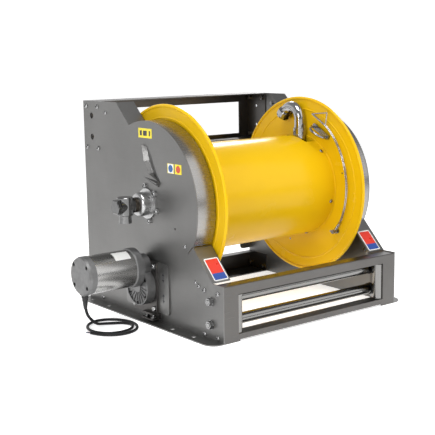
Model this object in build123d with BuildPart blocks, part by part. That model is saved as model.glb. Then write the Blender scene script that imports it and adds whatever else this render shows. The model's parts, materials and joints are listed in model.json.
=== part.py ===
from build123d import *
from math import acos, asin, atan2, cos, degrees, pi, radians, sin, sqrt, tan
import os

# A motorised hose reel for one-inch hose.
# X runs along the drum, with the gearmotor on the -X side, +Y is the rear and +Z is up.
# The origin lies on the floor, at the centre of the floor bolts.

os.makedirs("parts", exist_ok=True)

# Side plates ------------------------------------------------------------------------------
HALF_WIDTH = 320.0  # outer faces of the side plates
SHEET = 3.0
INNER = HALF_WIDTH - SHEET
FRONT, REAR = -358.0, 302.0
HEIGHT = 600.0
AXIS = (-28.0, 328.0)  # drum axis, (y, z)
ARC_RADIUS = 227.0
STRIP_END = 260.0  # |x| where the inward flanges stop
TOP_CORNER = (120.0, HEIGHT)
FRONT_CORNER = (-315.0, 152.0)
ARC_START, ARC_END = 111.9, -24.4  # ends of the round top, from -Y towards +Z
BASE_EDGE = 360.0
BASE_CORNERS = (34.0, 40.0)
BOLT_X = 340.0
BOLT_Y = (-257.0, -162.0, 162.0, 257.0)
FLOOR_HOLE = 6.5
REAR_FLANGE_X = 275.0
REAR_FLANGE_Z = (68.0, 449.5)

# Roller frame, rear frame and crossbar ----------------------------------------------------
FRAME_DEPTH = 92.0
FLANGE_DEPTH = 35.0  # top and bottom folds of the roller frame
FRAME_TOP = 150.0
WINDOW_X = 270.0
WINDOW_Z = (20.0, 125.0)
FOOT_X, FOOT_GAP = 265.0, 5.0
LIP_DEPTH = 37.0
REAR_BOTTOM = 450.0
REAR_WINDOW_X = 275.0
REAR_WINDOW_Z = (466.0, 570.0)
REAR_SHELF = 56.0
CROSSBAR_TOP = 58.0
CROSSBAR_LIP = 30.0
ROLLER_Y = -307.0
ROLLER_Z = (43.0, 104.0)
ROLLER_RADIUS, ROLLER_BORE = 15.0, 13.0
ROLLER_END = 262.0
AXLE_RADIUS = 6.0
SIDE_ROLLER = (263.0, -342.0)  # (x, y)
SIDE_ROLLER_RADIUS, SIDE_ROLLER_BORE = 14.0, 11.0
SIDE_ROLLER_Z = (21.5, 123.5)
PIN_RADIUS = 5.0
RUNNING = 0.05  # radial clearance of a running fit
BOLT_RADIUS, BOLT_HOLE = 4.0, 4.3

# Drum -------------------------------------------------------------------------------------
BARREL_RADIUS, BARREL_WALL = 153.0, 2.5
DISC_FACE = 252.0
DISC_RADIUS, RIM_BEAD = 264.5, 5.0
DISC_HOLE = 60.0
BEAD_RADIUS, BEAD = 232.0, 3.0
SHAFT_RADIUS, SHAFT_BORE = 20.0, 13.0
SHAFT_END, STUB_END = 358.7, 338.0
FLANGE_RADIUS, FLANGE_WIDTH = 55.0, 8.0
END_PLATE = (248.0, 251.0)  # |x| of the two plates inside the barrel
END_RIM = 228.0
SCREW_X = 238.0
SCREW_ANGLE = 46.0
OUTLET = (230.0, -48.0)  # riser of the swan neck, (x, y)
SLOT_X, SLOT_Y = (209.0, 249.5), (-95.0, 8.0)
PIPE_RADIUS, PIPE_BORE = 16.85, 13.6
NECK_START, NECK_TURN_Z = 505.0, 530.0
NECK_BEND, NECK_ANGLE = 36.0, 142.0
WIRE_X = (236.0, 241.0)
WIRE_RADIUS = 1.75
ANCHOR_ANGLE, ANCHOR_ORBIT = -38.0, 207.0
CLAMP_ORBIT = 194.0
CLAMP_ANGLES = (51.5, 68.5)

# Chain drive ------------------------------------------------------------------------------
PITCH, BUSH, SPROCKET_HALF = 12.7, 4.2, 2.6
DRUM_TEETH, DRIVE_TEETH, LINKS = 60, 13, 76
TOOTH_HEIGHT = 2.8
CHAIN_X = -284.5
OUTPUT_Y = -18.0

# Gearmotor, as x stations and radii -------------------------------------------------------
MODULE, GEAR_TEETH, PINION_TEETH = 2.0, 45, 11
CAP_FACE, CAP_BACK = -535.0, -512.0
BODY_END, MOTOR_FLANGE_END = -388.0, -363.0
CASE_FRONT, CASE_BACK = -350.0, -330.0
COVER_FACE = -357.0
SLIDE_FACE, MOUNT_FACE = -330.0, -324.0
CAP_RADIUS, BODY_RADIUS, BODY_BORE = 52.5, 52.0, 37.0
MOTOR_FLANGE_RADIUS, CASE_RADIUS, NECK_RADIUS = 55.0, 53.0, 34.0
CASE_WALL = 6.0
OUTPUT_RADIUS, JOURNAL_RADIUS, ROTOR_SHAFT = 10.0, 8.0, 7.0
MOUNT_Y, MOUNT_Z = (-124.0, 88.0), (28.0, 169.0)
SLIDE_Y, SLIDE_Z = (-74.0, 38.0), (24.0, 171.0)
SLIDE_BOLTS = [(y, z) for y in (-65.0, 29.0) for z in (38.0, 158.0)]
TENSION_Y = (-66.0, -36.0)
TENSION_X = -337.0

# Swivel -----------------------------------------------------------------------------------
HOUSING_RADIUS, HOUSING_END, HOUSING_FLANGE = 33.0, 344.5, 42.0
DOME_END, DOME_FILLET = 358.0, 10.0  # the drive side's housing is longer and round-nosed
LUG_RADIUS = 8.0
RING_END, RING_RADIUS = -371.0, 20.5
SPIGOT_END, SPIGOT_RADIUS = -390.0, 16.5
ELBOW = (-416.0, -371.7)
ELBOW_RADIUS = 21.5
UPRIGHT_HALF, UPRIGHT_RADIUS = 25.0, 22.0  # the elbow's upright body
PORT_X, PORT_RADIUS, PORT_END = -394.0, 17.5, 282.0
THREAD_RADIUS, THREAD_DEPTH = 15.15, 19.0
PLUG_END, PLUG_RADIUS = -427.0, 21.5

# Power cable ------------------------------------------------------------------------------
CABLE_RADIUS = 4.0
CABLE_X = -523.0
GLAND_Z = (84.0, 100.0)
COIL_CENTRE = (-459.0, -32.5)
COIL_OUTER, COIL_INNER = (80.0, 89.0), (16.0, 20.0)
COIL_HEIGHT = 20.0
CABLE_ROUTE = [
    (CABLE_X, OUTPUT_Y, GLAND_Z[0]),
    (CABLE_X, OUTPUT_Y, 64.0),
    (-517.5, -18.5, 42.5),
    (-503.5, -20.0, 25.5),
    (-490.0, -22.0, 14.5),
]


def around(angle, radius, centre=AXIS):
    """The (y, z) point at an angle from -Y towards +Z about a centre."""
    turn = radians(angle)
    return (centre[0] - radius * cos(turn), centre[1] + radius * sin(turn))


def block(x, y, z, mode=Mode.ADD):
    """A box between the two ends of each range."""
    with Locations((sum(x) / 2, sum(y) / 2, sum(z) / 2)):
        Box(abs(x[1] - x[0]), abs(y[1] - y[0]), abs(z[1] - z[0]), mode=mode)


def rod(x, radius, centre=AXIS, mode=Mode.ADD):
    """A round bar along X between two stations, about a (y, z) centre."""
    with Locations((sum(x) / 2, *centre)):
        Cylinder(radius, abs(x[1] - x[0]), rotation=(0, 90, 0), mode=mode)


def post(z, radius, centre, mode=Mode.ADD):
    """A round bar along Z between two heights, about an (x, y) centre."""
    with Locations((*centre, sum(z) / 2)):
        Cylinder(radius, z[1] - z[0], mode=mode)


def bar(radius, start, end, mode=Mode.ADD):
    """A round bar from one point to another."""
    way = Vector(*end) - Vector(*start)
    with Locations(Plane(origin=start, z_dir=way).location):
        Cylinder(radius, way.length, align=(Align.CENTER, Align.CENTER, Align.MIN), mode=mode)


def hexagon(x, across, centre=AXIS, mode=Mode.ADD):
    """A hexagonal prism along X between two stations."""
    with BuildSketch(Plane.YZ.offset(min(x))) as outline:
        with Locations(centre):
            RegularPolygon(across / 2, 6, major_radius=False)
    extrude(outline.sketch, amount=abs(x[1] - x[0]), mode=mode)


def save(builder, name):
    """Label a finished piece and write it."""
    builder.part.label = name
    export_step(builder.part, f"parts/{name}.step")


# Fasteners: each lies along X with its head towards +X, seated at x = 0 --------------------
def button_screw(shank, grip, head, nut=0.0):
    """A button-head socket screw, with a hexagon nut behind its grip."""
    height = head * 0.62
    with BuildPart() as fastener:
        with BuildSketch(Plane.XY):
            with BuildLine():
                Polyline((height, 0), (0, 0), (0, head), (height * 0.25, head))
                ThreePointArc((height * 0.25, head), (height * 0.8, head * 0.75), (height, head * 0.5))
                Line((height, head * 0.5), (height, 0))
            make_face()
        revolve(axis=Axis.X)
        hexagon((height * 0.4, height + 1), head * 0.75, (0, 0), Mode.SUBTRACT)
        rod((-grip - nut * 0.6, 0), shank, (0, 0))
        if nut:
            hexagon((-grip - nut * 0.5, -grip), nut, (0, 0))
    return fastener.part


def hex_bolt(shank, grip, across):
    """A hexagon-head bolt on a washer, without a nut."""
    washer, height = across * 0.14, across * 0.42
    with BuildPart() as fastener:
        rod((0, washer), across * 0.62, (0, 0))
        hexagon((washer, washer + height), across, (0, 0))
        chamfer(fastener.faces().sort_by(Axis.X)[-1].edges(), height * 0.14)
        rod((-grip, 0), shank, (0, 0))
    return fastener.part


def place(fastener, points, side):
    """Set copies of a fastener at (x, y, z) points, their heads towards +X or -X."""
    turn = 0 if side > 0 else 180
    with Locations(*[Location(point, (0, 0, turn)) for point in points]):
        add(fastener)


FRONT_BOLTS = [(y, z) for y in (-335.0, -279.0) for z in (12.0, 129.0)]
REAR_BOLTS = [(y, z) for y in (224.0, 286.0) for z in (463.0, 584.0)]
CROSSBAR_BOLTS = [(224.0, 14.0), (286.0, 20.0)]
JOINT_BOLTS = FRONT_BOLTS + REAR_BOLTS + CROSSBAR_BOLTS
PLATE_SCREWS = [(179.0, 568.0), (-242.0, 143.0), (-256.0, 136.0), (-198.0, 232.0)]
HOUSING_SCREWS = [around(angle, 48.0) for angle in range(-20, 340, 60)]
REAR_OPENINGS = [(256.0, 557.0), (256.0, 495.0)]
AXLES = [(ROLLER_Y, z) for z in ROLLER_Z]

# Chain geometry: the number of links fixes the distance between the two sprockets ----------
drum_pitch = PITCH / 2 / sin(pi / DRUM_TEETH)
drive_pitch = PITCH / 2 / sin(pi / DRIVE_TEETH)


def chain_stretches(distance):
    """Pitches round the drum sprocket, along one straight run and round the drive sprocket."""
    lean = asin((drum_pitch - drive_pitch) / distance)
    round_drum = DRUM_TEETH * (pi + 2 * lean) / (2 * pi)
    round_drive = DRIVE_TEETH * (pi - 2 * lean) / (2 * pi)
    return round_drum, distance * cos(lean) / PITCH, round_drive


centre_distance = 231.0
for _ in range(20):
    over_drum, straight, over_drive = chain_stretches(centre_distance)
    centre_distance += (LINKS - over_drum - 2 * straight - over_drive) * PITCH / 2
OUTPUT = (OUTPUT_Y, AXIS[1] - sqrt(centre_distance**2 - (OUTPUT_Y - AXIS[0]) ** 2))
MOTOR = (OUTPUT_Y, OUTPUT[1] + MODULE * (GEAR_TEETH + PINION_TEETH) / 2)
down = atan2(OUTPUT[1] - AXIS[1], OUTPUT[0] - AXIS[0])
contact = acos((drum_pitch - drive_pitch) / centre_distance)
print("output shaft", OUTPUT, "motor", MOTOR)


def on_circle(centre, radius, turn):
    return Vector(centre[0] + radius * cos(turn), centre[1] + radius * sin(turn))


def chain_pin(index):
    """The (y, z) place of one chain pin, counted from where the chain meets the drum sprocket."""
    place_on = index % LINKS
    drum_turn = 2 * pi / DRUM_TEETH
    drive_turn = 2 * pi / DRIVE_TEETH
    if place_on <= over_drum:
        return on_circle(AXIS, drum_pitch, down + contact + place_on * drum_turn)
    place_on -= over_drum
    if place_on <= straight:
        start = on_circle(AXIS, drum_pitch, down - contact)
        end = on_circle(OUTPUT, drive_pitch, down - contact)
        return start + (end - start) * (place_on / straight)
    place_on -= straight
    if place_on <= over_drive:
        return on_circle(OUTPUT, drive_pitch, down - contact + place_on * drive_turn)
    place_on -= over_drive
    start = on_circle(OUTPUT, drive_pitch, down + contact)
    end = on_circle(AXIS, drum_pitch, down + contact)
    return start + (end - start) * (place_on / straight)


DRUM_PHASE = degrees(down + contact)
DRIVE_PHASE = degrees(down - contact) - (over_drum + straight) * 360 / DRIVE_TEETH


# Side plates ------------------------------------------------------------------------------
arc_rear = around(ARC_START, ARC_RADIUS)
arc_front = around(ARC_END, ARC_RADIUS)
arc_middle = around((ARC_START + ARC_END) / 2, ARC_RADIUS)
slope = Vector(FRONT_CORNER[0] - arc_front[0], FRONT_CORNER[1] - arc_front[1])
SLOPE_ANGLE = degrees(atan2(slope.Y, slope.X))
GEARMOTOR_SLOT = (40.0, 28.0)
BOLT_SLOT = (18.0, 2 * BOLT_HOLE)


def slope_flange(side, start, end):
    """The inward flange along a straight slope of the outline."""
    run = Vector(end[0] - start[0], end[1] - start[1]).normalized()
    inward = Vector(-run.Y, run.X) * SHEET
    end = (end[0] - 2 * run.X, end[1] - 2 * run.Y)
    if inward.dot(Vector(AXIS[0] - start[0], AXIS[1] - start[1])) < 0:
        inward = inward * -1
    far = [(point[0] + inward.X, point[1] + inward.Y) for point in (end, start)]
    with BuildSketch(Plane.YZ.offset(side * STRIP_END)) as strip:
        with BuildLine():
            Polyline(start, end, *far, close=True)
        make_face()
    extrude(strip.sketch, amount=side * (INNER + SHEET / 2 - STRIP_END))


def gearmotor_slots():
    """Upright slots in which the gearmotor slides to tighten the chain."""
    with Locations(Location(OUTPUT, (0, 0, 90))):
        SlotOverall(*GEARMOTOR_SLOT, mode=Mode.SUBTRACT)
    with Locations(*[Location(point, (0, 0, 90)) for point in SLIDE_BOLTS]):
        SlotOverall(*BOLT_SLOT, mode=Mode.SUBTRACT)


def side_plate(side):
    """A folded side plate: web, outward base flange, inward rear and slope flanges."""
    with BuildPart() as plate:
        with BuildSketch(Plane.YZ.offset(side * INNER)):
            with BuildLine():
                Polyline(arc_rear, TOP_CORNER, (REAR, HEIGHT), (REAR, 0), (FRONT, 0))
                Polyline((FRONT, 0), (FRONT, FRONT_CORNER[1]), FRONT_CORNER, arc_front)
                ThreePointArc(arc_front, arc_middle, arc_rear)
            make_face()
            with Locations(*JOINT_BOLTS, *PLATE_SCREWS, *HOUSING_SCREWS):
                Circle(BOLT_HOLE, mode=Mode.SUBTRACT)
            with Locations(*AXLES):
                Circle(AXLE_RADIUS + 0.2, mode=Mode.SUBTRACT)
            with Locations(*REAR_OPENINGS):
                Circle(9, mode=Mode.SUBTRACT)
            with Locations((-155, 273)):
                Circle(3, mode=Mode.SUBTRACT)
            with Locations(AXIS):
                Circle(31, mode=Mode.SUBTRACT)
            with Locations(Location((-222.5, 225), (0, 0, SLOPE_ANGLE - 90))):
                SlotOverall(30, 2.4, mode=Mode.SUBTRACT)
            if side < 0:
                gearmotor_slots()
        extrude(amount=side * SHEET)
        with BuildSketch(Plane.XY) as base:
            with Locations((side * (INNER + BASE_EDGE) / 2, (FRONT + REAR) / 2)):
                Rectangle(BASE_EDGE - INNER, REAR - FRONT)
            outside = -1 if side > 0 else 0
            fillet(base.vertices().group_by(Axis.X)[outside].sort_by(Axis.Y)[0], BASE_CORNERS[0])
            fillet(base.vertices().group_by(Axis.X)[outside].sort_by(Axis.Y)[-1], BASE_CORNERS[1])
            with Locations(*[(side * BOLT_X, y) for y in BOLT_Y]):
                Circle(FLOOR_HOLE, mode=Mode.SUBTRACT)
        extrude(amount=SHEET)
        slope_flange(side, TOP_CORNER, arc_rear)
        slope_flange(side, arc_front, FRONT_CORNER)
        with BuildSketch(Plane.XZ.offset(-REAR)) as rear_flange:
            with Locations((side * (REAR_FLANGE_X + INNER + 1) / 2, sum(REAR_FLANGE_Z) / 2)):
                Rectangle(INNER - REAR_FLANGE_X + 1, REAR_FLANGE_Z[1] - REAR_FLANGE_Z[0])
            inside = 0 if side > 0 else -1
            fillet(rear_flange.vertices().group_by(Axis.X)[inside].sort_by(Axis.Y)[0], 12)
        extrude(amount=SHEET)
        if side < 0:
            pressed_relief()
    return plate


SCOOP_RIM = [
    (-36, 410), (-14, 444), (-8, 471), (-4, 490), (-15, 496),
    (-32, 489), (-52, 465), (-62, 440), (-94, 388),
]
SCOOP_FLOOR = [
    (-43, 415), (-25, 446), (-18, 470), (-14, 482), (-17, 484),
    (-25, 470), (-31, 444), (-50, 412), (-46, 411),
]
SCOOP_DEPTH = 11.0
LIP_EDGE = (-84.0, 376.0, 395.0)  # y of the louvre's open end, and its heights


def scoop(margin, depth):
    """The scoop's hollow, or with a margin the pressed metal round it."""
    with BuildSketch(Plane.YZ.offset(-HALF_WIDTH + margin)) as rim:
        Polygon(*SCOOP_RIM, align=None)
        if margin:
            offset(amount=margin, kind=Kind.INTERSECTION)
    with BuildSketch(Plane.YZ.offset(-HALF_WIDTH + depth)) as deep:
        Polygon(*SCOOP_FLOOR, align=None)
        if margin:
            offset(amount=margin, kind=Kind.INTERSECTION)
    return loft([rim.sketch.face(), deep.sketch.face()], ruled=True, mode=Mode.PRIVATE)


def pressed_relief():
    """The scoop and the louvre pressed into the drive-side plate above the hub."""
    metal = 2.5
    add(scoop(metal, SCOOP_DEPTH + metal))
    add(scoop(0, SCOOP_DEPTH), mode=Mode.SUBTRACT)
    with BuildSketch(Plane.XZ.offset(-LIP_EDGE[0])) as lip:
        with BuildLine():
            Polyline(
                (1 - HALF_WIDTH, LIP_EDGE[2]),
                (-HALF_WIDTH - 9, LIP_EDGE[2] - 5),
                (-HALF_WIDTH - 9, LIP_EDGE[2] - 8),
                (1 - HALF_WIDTH, LIP_EDGE[1]),
                close=True,
            )
        make_face()
    loft([lip.sketch.face(), Vertex(1 - HALF_WIDTH, 0, 402)])


left_side_plate = side_plate(-1)
save(left_side_plate, "left_side_plate")
right_side_plate = side_plate(1)
save(right_side_plate, "right_side_plate")

with BuildPart() as arc_strips:
    for side in (-1, 1):
        with BuildSketch(Plane.YZ.offset(side * STRIP_END)):
            first, last = ARC_START - 0.4, ARC_END + 0.8
            middle = (first + last) / 2
            near = ARC_RADIUS - SHEET
            with BuildLine():
                ThreePointArc(*[around(a, ARC_RADIUS) for a in (first, middle, last)])
                Line(around(last, ARC_RADIUS), around(last, near))
                ThreePointArc(*[around(a, near) for a in (last, middle, first)])
                Line(around(first, near), around(first, ARC_RADIUS))
            make_face()
        extrude(amount=side * (INNER - STRIP_END))
save(arc_strips, "arc_strips")

# Folded frames between the side plates ----------------------------------------------------
SIDES = (-1, 1)
WALL = INNER - SHEET

with BuildPart() as front_roller_frame:
    block((-INNER, INNER), (FRONT, FRONT + SHEET), (0, FRAME_TOP))
    block((-INNER, INNER), (FRONT, FRONT + FLANGE_DEPTH), (FRAME_TOP - SHEET, FRAME_TOP))
    block((-FOOT_X, FOOT_X), (FRONT, FRONT + FLANGE_DEPTH), (FOOT_GAP, FOOT_GAP + SHEET))
    fillet(front_roller_frame.edges().filter_by(Axis.X).group_by(Axis.Z)[-1].sort_by(Axis.Y)[0], 2.5)
    for side in SIDES:
        block((side * WALL, side * INNER), (FRONT, FRONT + FRAME_DEPTH), (0, FRAME_TOP))
    block((-WINDOW_X, WINDOW_X), (FRONT - 1, FRONT + SHEET + 1), WINDOW_Z, Mode.SUBTRACT)
    block((-FOOT_X, FOOT_X), (FRONT - 1, FRONT + SHEET + 1), (-1, FOOT_GAP), Mode.SUBTRACT)
    for low in (WINDOW_Z[0] - SHEET, WINDOW_Z[1]):
        block((-WINDOW_X - SHEET, WINDOW_X + SHEET), (FRONT, FRONT + LIP_DEPTH), (low, low + SHEET))
    for side in SIDES:
        post((10, 140), PIN_RADIUS + 0.2, (side * SIDE_ROLLER[0], SIDE_ROLLER[1]), Mode.SUBTRACT)
    for y, z in FRONT_BOLTS:
        rod((-INNER - 1, INNER + 1), BOLT_HOLE, (y, z), Mode.SUBTRACT)
    for y, z in AXLES:
        rod((-INNER - 1, INNER + 1), AXLE_RADIUS + 0.2, (y, z), Mode.SUBTRACT)
save(front_roller_frame, "front_roller_frame")

with BuildPart() as rear_frame:
    block((-INNER, INNER), (REAR - SHEET, REAR), (REAR_BOTTOM, HEIGHT))
    block((-INNER, INNER), (REAR - FRAME_DEPTH, REAR), (HEIGHT - SHEET, HEIGHT))
    block((-INNER, INNER), (REAR - REAR_SHELF, REAR), (REAR_BOTTOM, REAR_BOTTOM + SHEET))
    fillet(rear_frame.edges().filter_by(Axis.X).group_by(Axis.Z)[-1].sort_by(Axis.Y)[-1], 2.5)
    for side in SIDES:
        block((side * WALL, side * INNER), (REAR - FRAME_DEPTH, REAR), (REAR_BOTTOM, HEIGHT))
    block((-REAR_WINDOW_X, REAR_WINDOW_X), (REAR - SHEET - 1, REAR + 1), REAR_WINDOW_Z, Mode.SUBTRACT)
    for y, z in REAR_BOLTS + REAR_OPENINGS:
        rod((-INNER - 1, INNER + 1), BOLT_HOLE, (y, z), Mode.SUBTRACT)
save(rear_frame, "rear_frame")

with BuildPart() as rear_crossbar:
    block((-INNER, INNER), (REAR - SHEET, REAR), (0, CROSSBAR_TOP))
    block((-WALL, WALL), (REAR - CROSSBAR_LIP, REAR), (CROSSBAR_TOP - SHEET, CROSSBAR_TOP))
    block((-WALL, WALL), (REAR - FRAME_DEPTH, REAR), (0, SHEET))
    for side in SIDES:
        block((side * WALL, side * INNER), (REAR - FRAME_DEPTH, REAR), (0, CROSSBAR_TOP))
    for y, z in CROSSBAR_BOLTS:
        rod((-INNER - 1, INNER + 1), BOLT_HOLE, (y, z), Mode.SUBTRACT)
save(rear_crossbar, "rear_crossbar")

joint_bolt = button_screw(BOLT_RADIUS, 2 * SHEET, 7.0, 13.0)
plate_screw = button_screw(BOLT_RADIUS, SHEET, 6.0, 11.0)
with BuildPart() as frame_bolts:
    for side in SIDES:
        place(joint_bolt, [(side * HALF_WIDTH, y, z) for y, z in JOINT_BOLTS], side)
        place(plate_screw, [(side * HALF_WIDTH, y, z) for y, z in PLATE_SCREWS], side)
save(frame_bolts, "frame_bolts")

# Guide rollers ----------------------------------------------------------------------------
BUSH_X = (ROLLER_END + 0.5, 272.0)
with BuildPart() as horizontal_roller_axles:
    for centre in AXLES:
        rod((-HALF_WIDTH - 13, HALF_WIDTH + 13), AXLE_RADIUS, centre)
    chamfer(horizontal_roller_axles.edges().filter_by(GeomType.CIRCLE), 1)
save(horizontal_roller_axles, "horizontal_roller_axles")

with BuildPart() as roller_axle_nuts:
    for side in SIDES:
        for centre in AXLES:
            rod((side * HALF_WIDTH, side * (HALF_WIDTH + 2)), 12.0, centre)
            hexagon((side * (HALF_WIDTH + 2), side * (HALF_WIDTH + 11)), 19.0, centre)
            rod((side * HALF_WIDTH, side * (HALF_WIDTH + 12)), AXLE_RADIUS, centre, Mode.SUBTRACT)
save(roller_axle_nuts, "roller_axle_nuts")

with BuildPart() as roller_bushes:
    for side in SIDES:
        for centre in AXLES:
            rod([side * x for x in BUSH_X], 17.0, centre)
            rod([side * x for x in BUSH_X], AXLE_RADIUS, centre, Mode.SUBTRACT)
save(roller_bushes, "roller_bushes")

LIP_Z = (WINDOW_Z[0] - SHEET, WINDOW_Z[1] + SHEET)
with BuildPart() as vertical_roller_pins:
    for side in SIDES:
        centre = (side * SIDE_ROLLER[0], SIDE_ROLLER[1])
        post((LIP_Z[0] - 5, LIP_Z[1] + 5), PIN_RADIUS, centre)
        post((LIP_Z[1], LIP_Z[1] + 5), 8.0, centre)
        post((LIP_Z[0] - 5, LIP_Z[0]), 8.0, centre)
save(vertical_roller_pins, "vertical_roller_pins")


def horizontal_roller(centre):
    """A tube on two end plugs, with a running bore."""
    with BuildPart() as roller:
        rod((-ROLLER_END, ROLLER_END), ROLLER_RADIUS, centre)
        chamfer(roller.edges().filter_by(GeomType.CIRCLE), 0.8)
        rod((20 - ROLLER_END, ROLLER_END - 20), ROLLER_BORE, centre, Mode.SUBTRACT)
        rod((-ROLLER_END - 1, ROLLER_END + 1), AXLE_RADIUS + RUNNING, centre, Mode.SUBTRACT)
    return roller


def side_roller(side):
    """An upright tube on two end plugs, with a running bore."""
    centre = (side * SIDE_ROLLER[0], SIDE_ROLLER[1])
    with BuildPart() as roller:
        post(SIDE_ROLLER_Z, SIDE_ROLLER_RADIUS, centre)
        chamfer(roller.edges().filter_by(GeomType.CIRCLE), 0.8)
        post((SIDE_ROLLER_Z[0] + 12, SIDE_ROLLER_Z[1] - 12), SIDE_ROLLER_BORE, centre, Mode.SUBTRACT)
        post((0, FRAME_TOP), PIN_RADIUS + RUNNING, centre, Mode.SUBTRACT)
    return roller


bottom_roller = horizontal_roller(AXLES[0])
save(bottom_roller, "bottom_roller")
top_roller = horizontal_roller(AXLES[1])
save(top_roller, "top_roller")
left_roller = side_roller(-1)
save(left_roller, "left_roller")
right_roller = side_roller(1)
save(right_roller, "right_roller")

# Drum -------------------------------------------------------------------------------------
SCREW_ANGLES = [SCREW_ANGLE + 60 * step for step in range(6)]
SCREW_PLACES = [(side * SCREW_X, angle) for side in SIDES for angle in SCREW_ANGLES]
HUB_BOLTS = [around(30 + 60 * step, 33.0) for step in range(6)]
DISC_SCREWS = [around(15 + 60 * step, 187.0) for step in range(6)]


def radial(x, angle, near, far):
    """Two (x, y, z) points on one radius of the drum."""
    return [(x, *around(angle, radius)) for radius in (near, far)]


with BuildPart() as drum_barrel:
    rod((-DISC_FACE, DISC_FACE), BARREL_RADIUS)
    rod((-DISC_FACE - 1, DISC_FACE + 1), BARREL_RADIUS - BARREL_WALL, mode=Mode.SUBTRACT)
    block(SLOT_X, SLOT_Y, (AXIS[1] + 60, AXIS[1] + 160), Mode.SUBTRACT)
    for x, angle in SCREW_PLACES:
        bar(3.2, *radial(x, angle, 140, 160), mode=Mode.SUBTRACT)
save(drum_barrel, "drum_barrel")

with BuildPart() as drum_end_plates:
    for side in SIDES:
        rod((side * END_RIM, side * END_PLATE[1]), BARREL_RADIUS - BARREL_WALL)
        rod((side * (END_RIM - 1), side * END_PLATE[0]), BARREL_RADIUS - BARREL_WALL - SHEET,
            mode=Mode.SUBTRACT)
    rod((-DISC_FACE, DISC_FACE), SHAFT_RADIUS, mode=Mode.SUBTRACT)
    block((SLOT_X[0], END_PLATE[0]), SLOT_Y, (AXIS[1] + 60, AXIS[1] + 160), Mode.SUBTRACT)
    for x, angle in SCREW_PLACES:
        bar(3.2, *radial(x, angle, 140, 160), mode=Mode.SUBTRACT)
    for y, z in HUB_BOLTS:
        rod((-DISC_FACE, DISC_FACE), BOLT_HOLE, (y, z), Mode.SUBTRACT)
save(drum_end_plates, "drum_end_plates")

with BuildPart() as screw_form:
    bar(3.0, (0, 0, -8), (0, 0, 0))
    with BuildSketch(Plane.XZ):
        with BuildLine():
            Polyline((0, 3), (0, 0), (6, 0), (6, 0.8))
            ThreePointArc((6, 0.8), (4.2, 2.4), (0, 3))
        make_face()
    revolve(axis=Axis.Z)
    with BuildSketch(Plane.XY.offset(1.4)):
        RegularPolygon(2.0, 6, major_radius=False)
    extrude(amount=3, mode=Mode.SUBTRACT)

with BuildPart() as drum_screws:
    for x, angle in SCREW_PLACES:
        foot, tip = radial(x, angle, BARREL_RADIUS, BARREL_RADIUS + 10)
        with Locations(Plane(origin=foot, z_dir=Vector(*tip) - Vector(*foot)).location):
            add(screw_form.part)
    for side in SIDES:
        place(button_screw(3.0, 3.0, 5.0), [(side * (DISC_FACE + SHEET), y, z) for y, z in DISC_SCREWS], side)
save(drum_screws, "drum_screws")


def disc(side):
    """A drum disc with a rolled rim and one pressed ring."""
    middle = side * (DISC_FACE + SHEET / 2)
    with BuildPart() as flange:
        rod((side * DISC_FACE, side * (DISC_FACE + SHEET)), DISC_RADIUS)
        with Locations((middle, *AXIS)):
            Torus(DISC_RADIUS, RIM_BEAD, rotation=(0, 90, 0))
            Torus(BEAD_RADIUS, BEAD, rotation=(0, 90, 0))
        rod((side * (DISC_FACE - 1), side * (DISC_FACE + SHEET + 1)), DISC_HOLE, mode=Mode.SUBTRACT)
        for y, z in DISC_SCREWS:
            rod((side * (DISC_FACE - 1), side * (DISC_FACE + SHEET + 1)), 3.2, (y, z), Mode.SUBTRACT)
        if side > 0:
            for angle in CLAMP_ANGLES:
                centre = around(angle, CLAMP_ORBIT)
                rod((DISC_FACE - 1, DISC_FACE + SHEET + 1), BOLT_RADIUS, centre, Mode.SUBTRACT)
            anchor = around(ANCHOR_ANGLE, ANCHOR_ORBIT)
            rod((DISC_FACE - 1, DISC_FACE + SHEET + 1), PIN_RADIUS - 1, anchor, Mode.SUBTRACT)
    return flange


left_disc = disc(-1)
save(left_disc, "left_disc")
right_disc = disc(1)
save(right_disc, "right_disc")

FLANGE = (END_PLATE[1], END_PLATE[1] + FLANGE_WIDTH)
FEED_START = -215.0
with BuildPart() as hollow_shaft:
    rod((-SHAFT_END, FEED_START), SHAFT_RADIUS)
    rod((-FLANGE[1], -FLANGE[0]), FLANGE_RADIUS)
    rod((-SHAFT_END - 1, FEED_START + 1), SHAFT_BORE, mode=Mode.SUBTRACT)
    for centre in HUB_BOLTS:
        rod((-FLANGE[1] - 1, -FLANGE[0] + 1), BOLT_HOLE, centre, Mode.SUBTRACT)
save(hollow_shaft, "hollow_shaft")

with BuildPart() as stub_shaft:
    rod((END_PLATE[0] - 2, STUB_END), SHAFT_RADIUS)
    rod(FLANGE, FLANGE_RADIUS)
    chamfer(stub_shaft.faces().sort_by(Axis.X)[-1].edges(), 1.5)
    for centre in HUB_BOLTS:
        rod((FLANGE[0] - 1, FLANGE[1] + 1), BOLT_HOLE, centre, Mode.SUBTRACT)
save(stub_shaft, "stub_shaft")

FEED = [(FEED_START, *AXIS), (OUTLET[0], *AXIS), (*OUTLET, 474.0), (*OUTLET, NECK_START)]
with BuildPart() as feed_pipe:
    with BuildLine():
        FilletPolyline(*FEED, radius=[40.0, 60.0])
    with BuildSketch(Plane(origin=FEED[0], z_dir=(1, 0, 0))):
        Circle(PIPE_RADIUS)
        Circle(PIPE_BORE, mode=Mode.SUBTRACT)
    sweep()
    post((482.0, NECK_START), 20.0, OUTLET)
    post((470.0, NECK_START + 1), PIPE_BORE, OUTLET, Mode.SUBTRACT)
save(feed_pipe, "feed_pipe")

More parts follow.
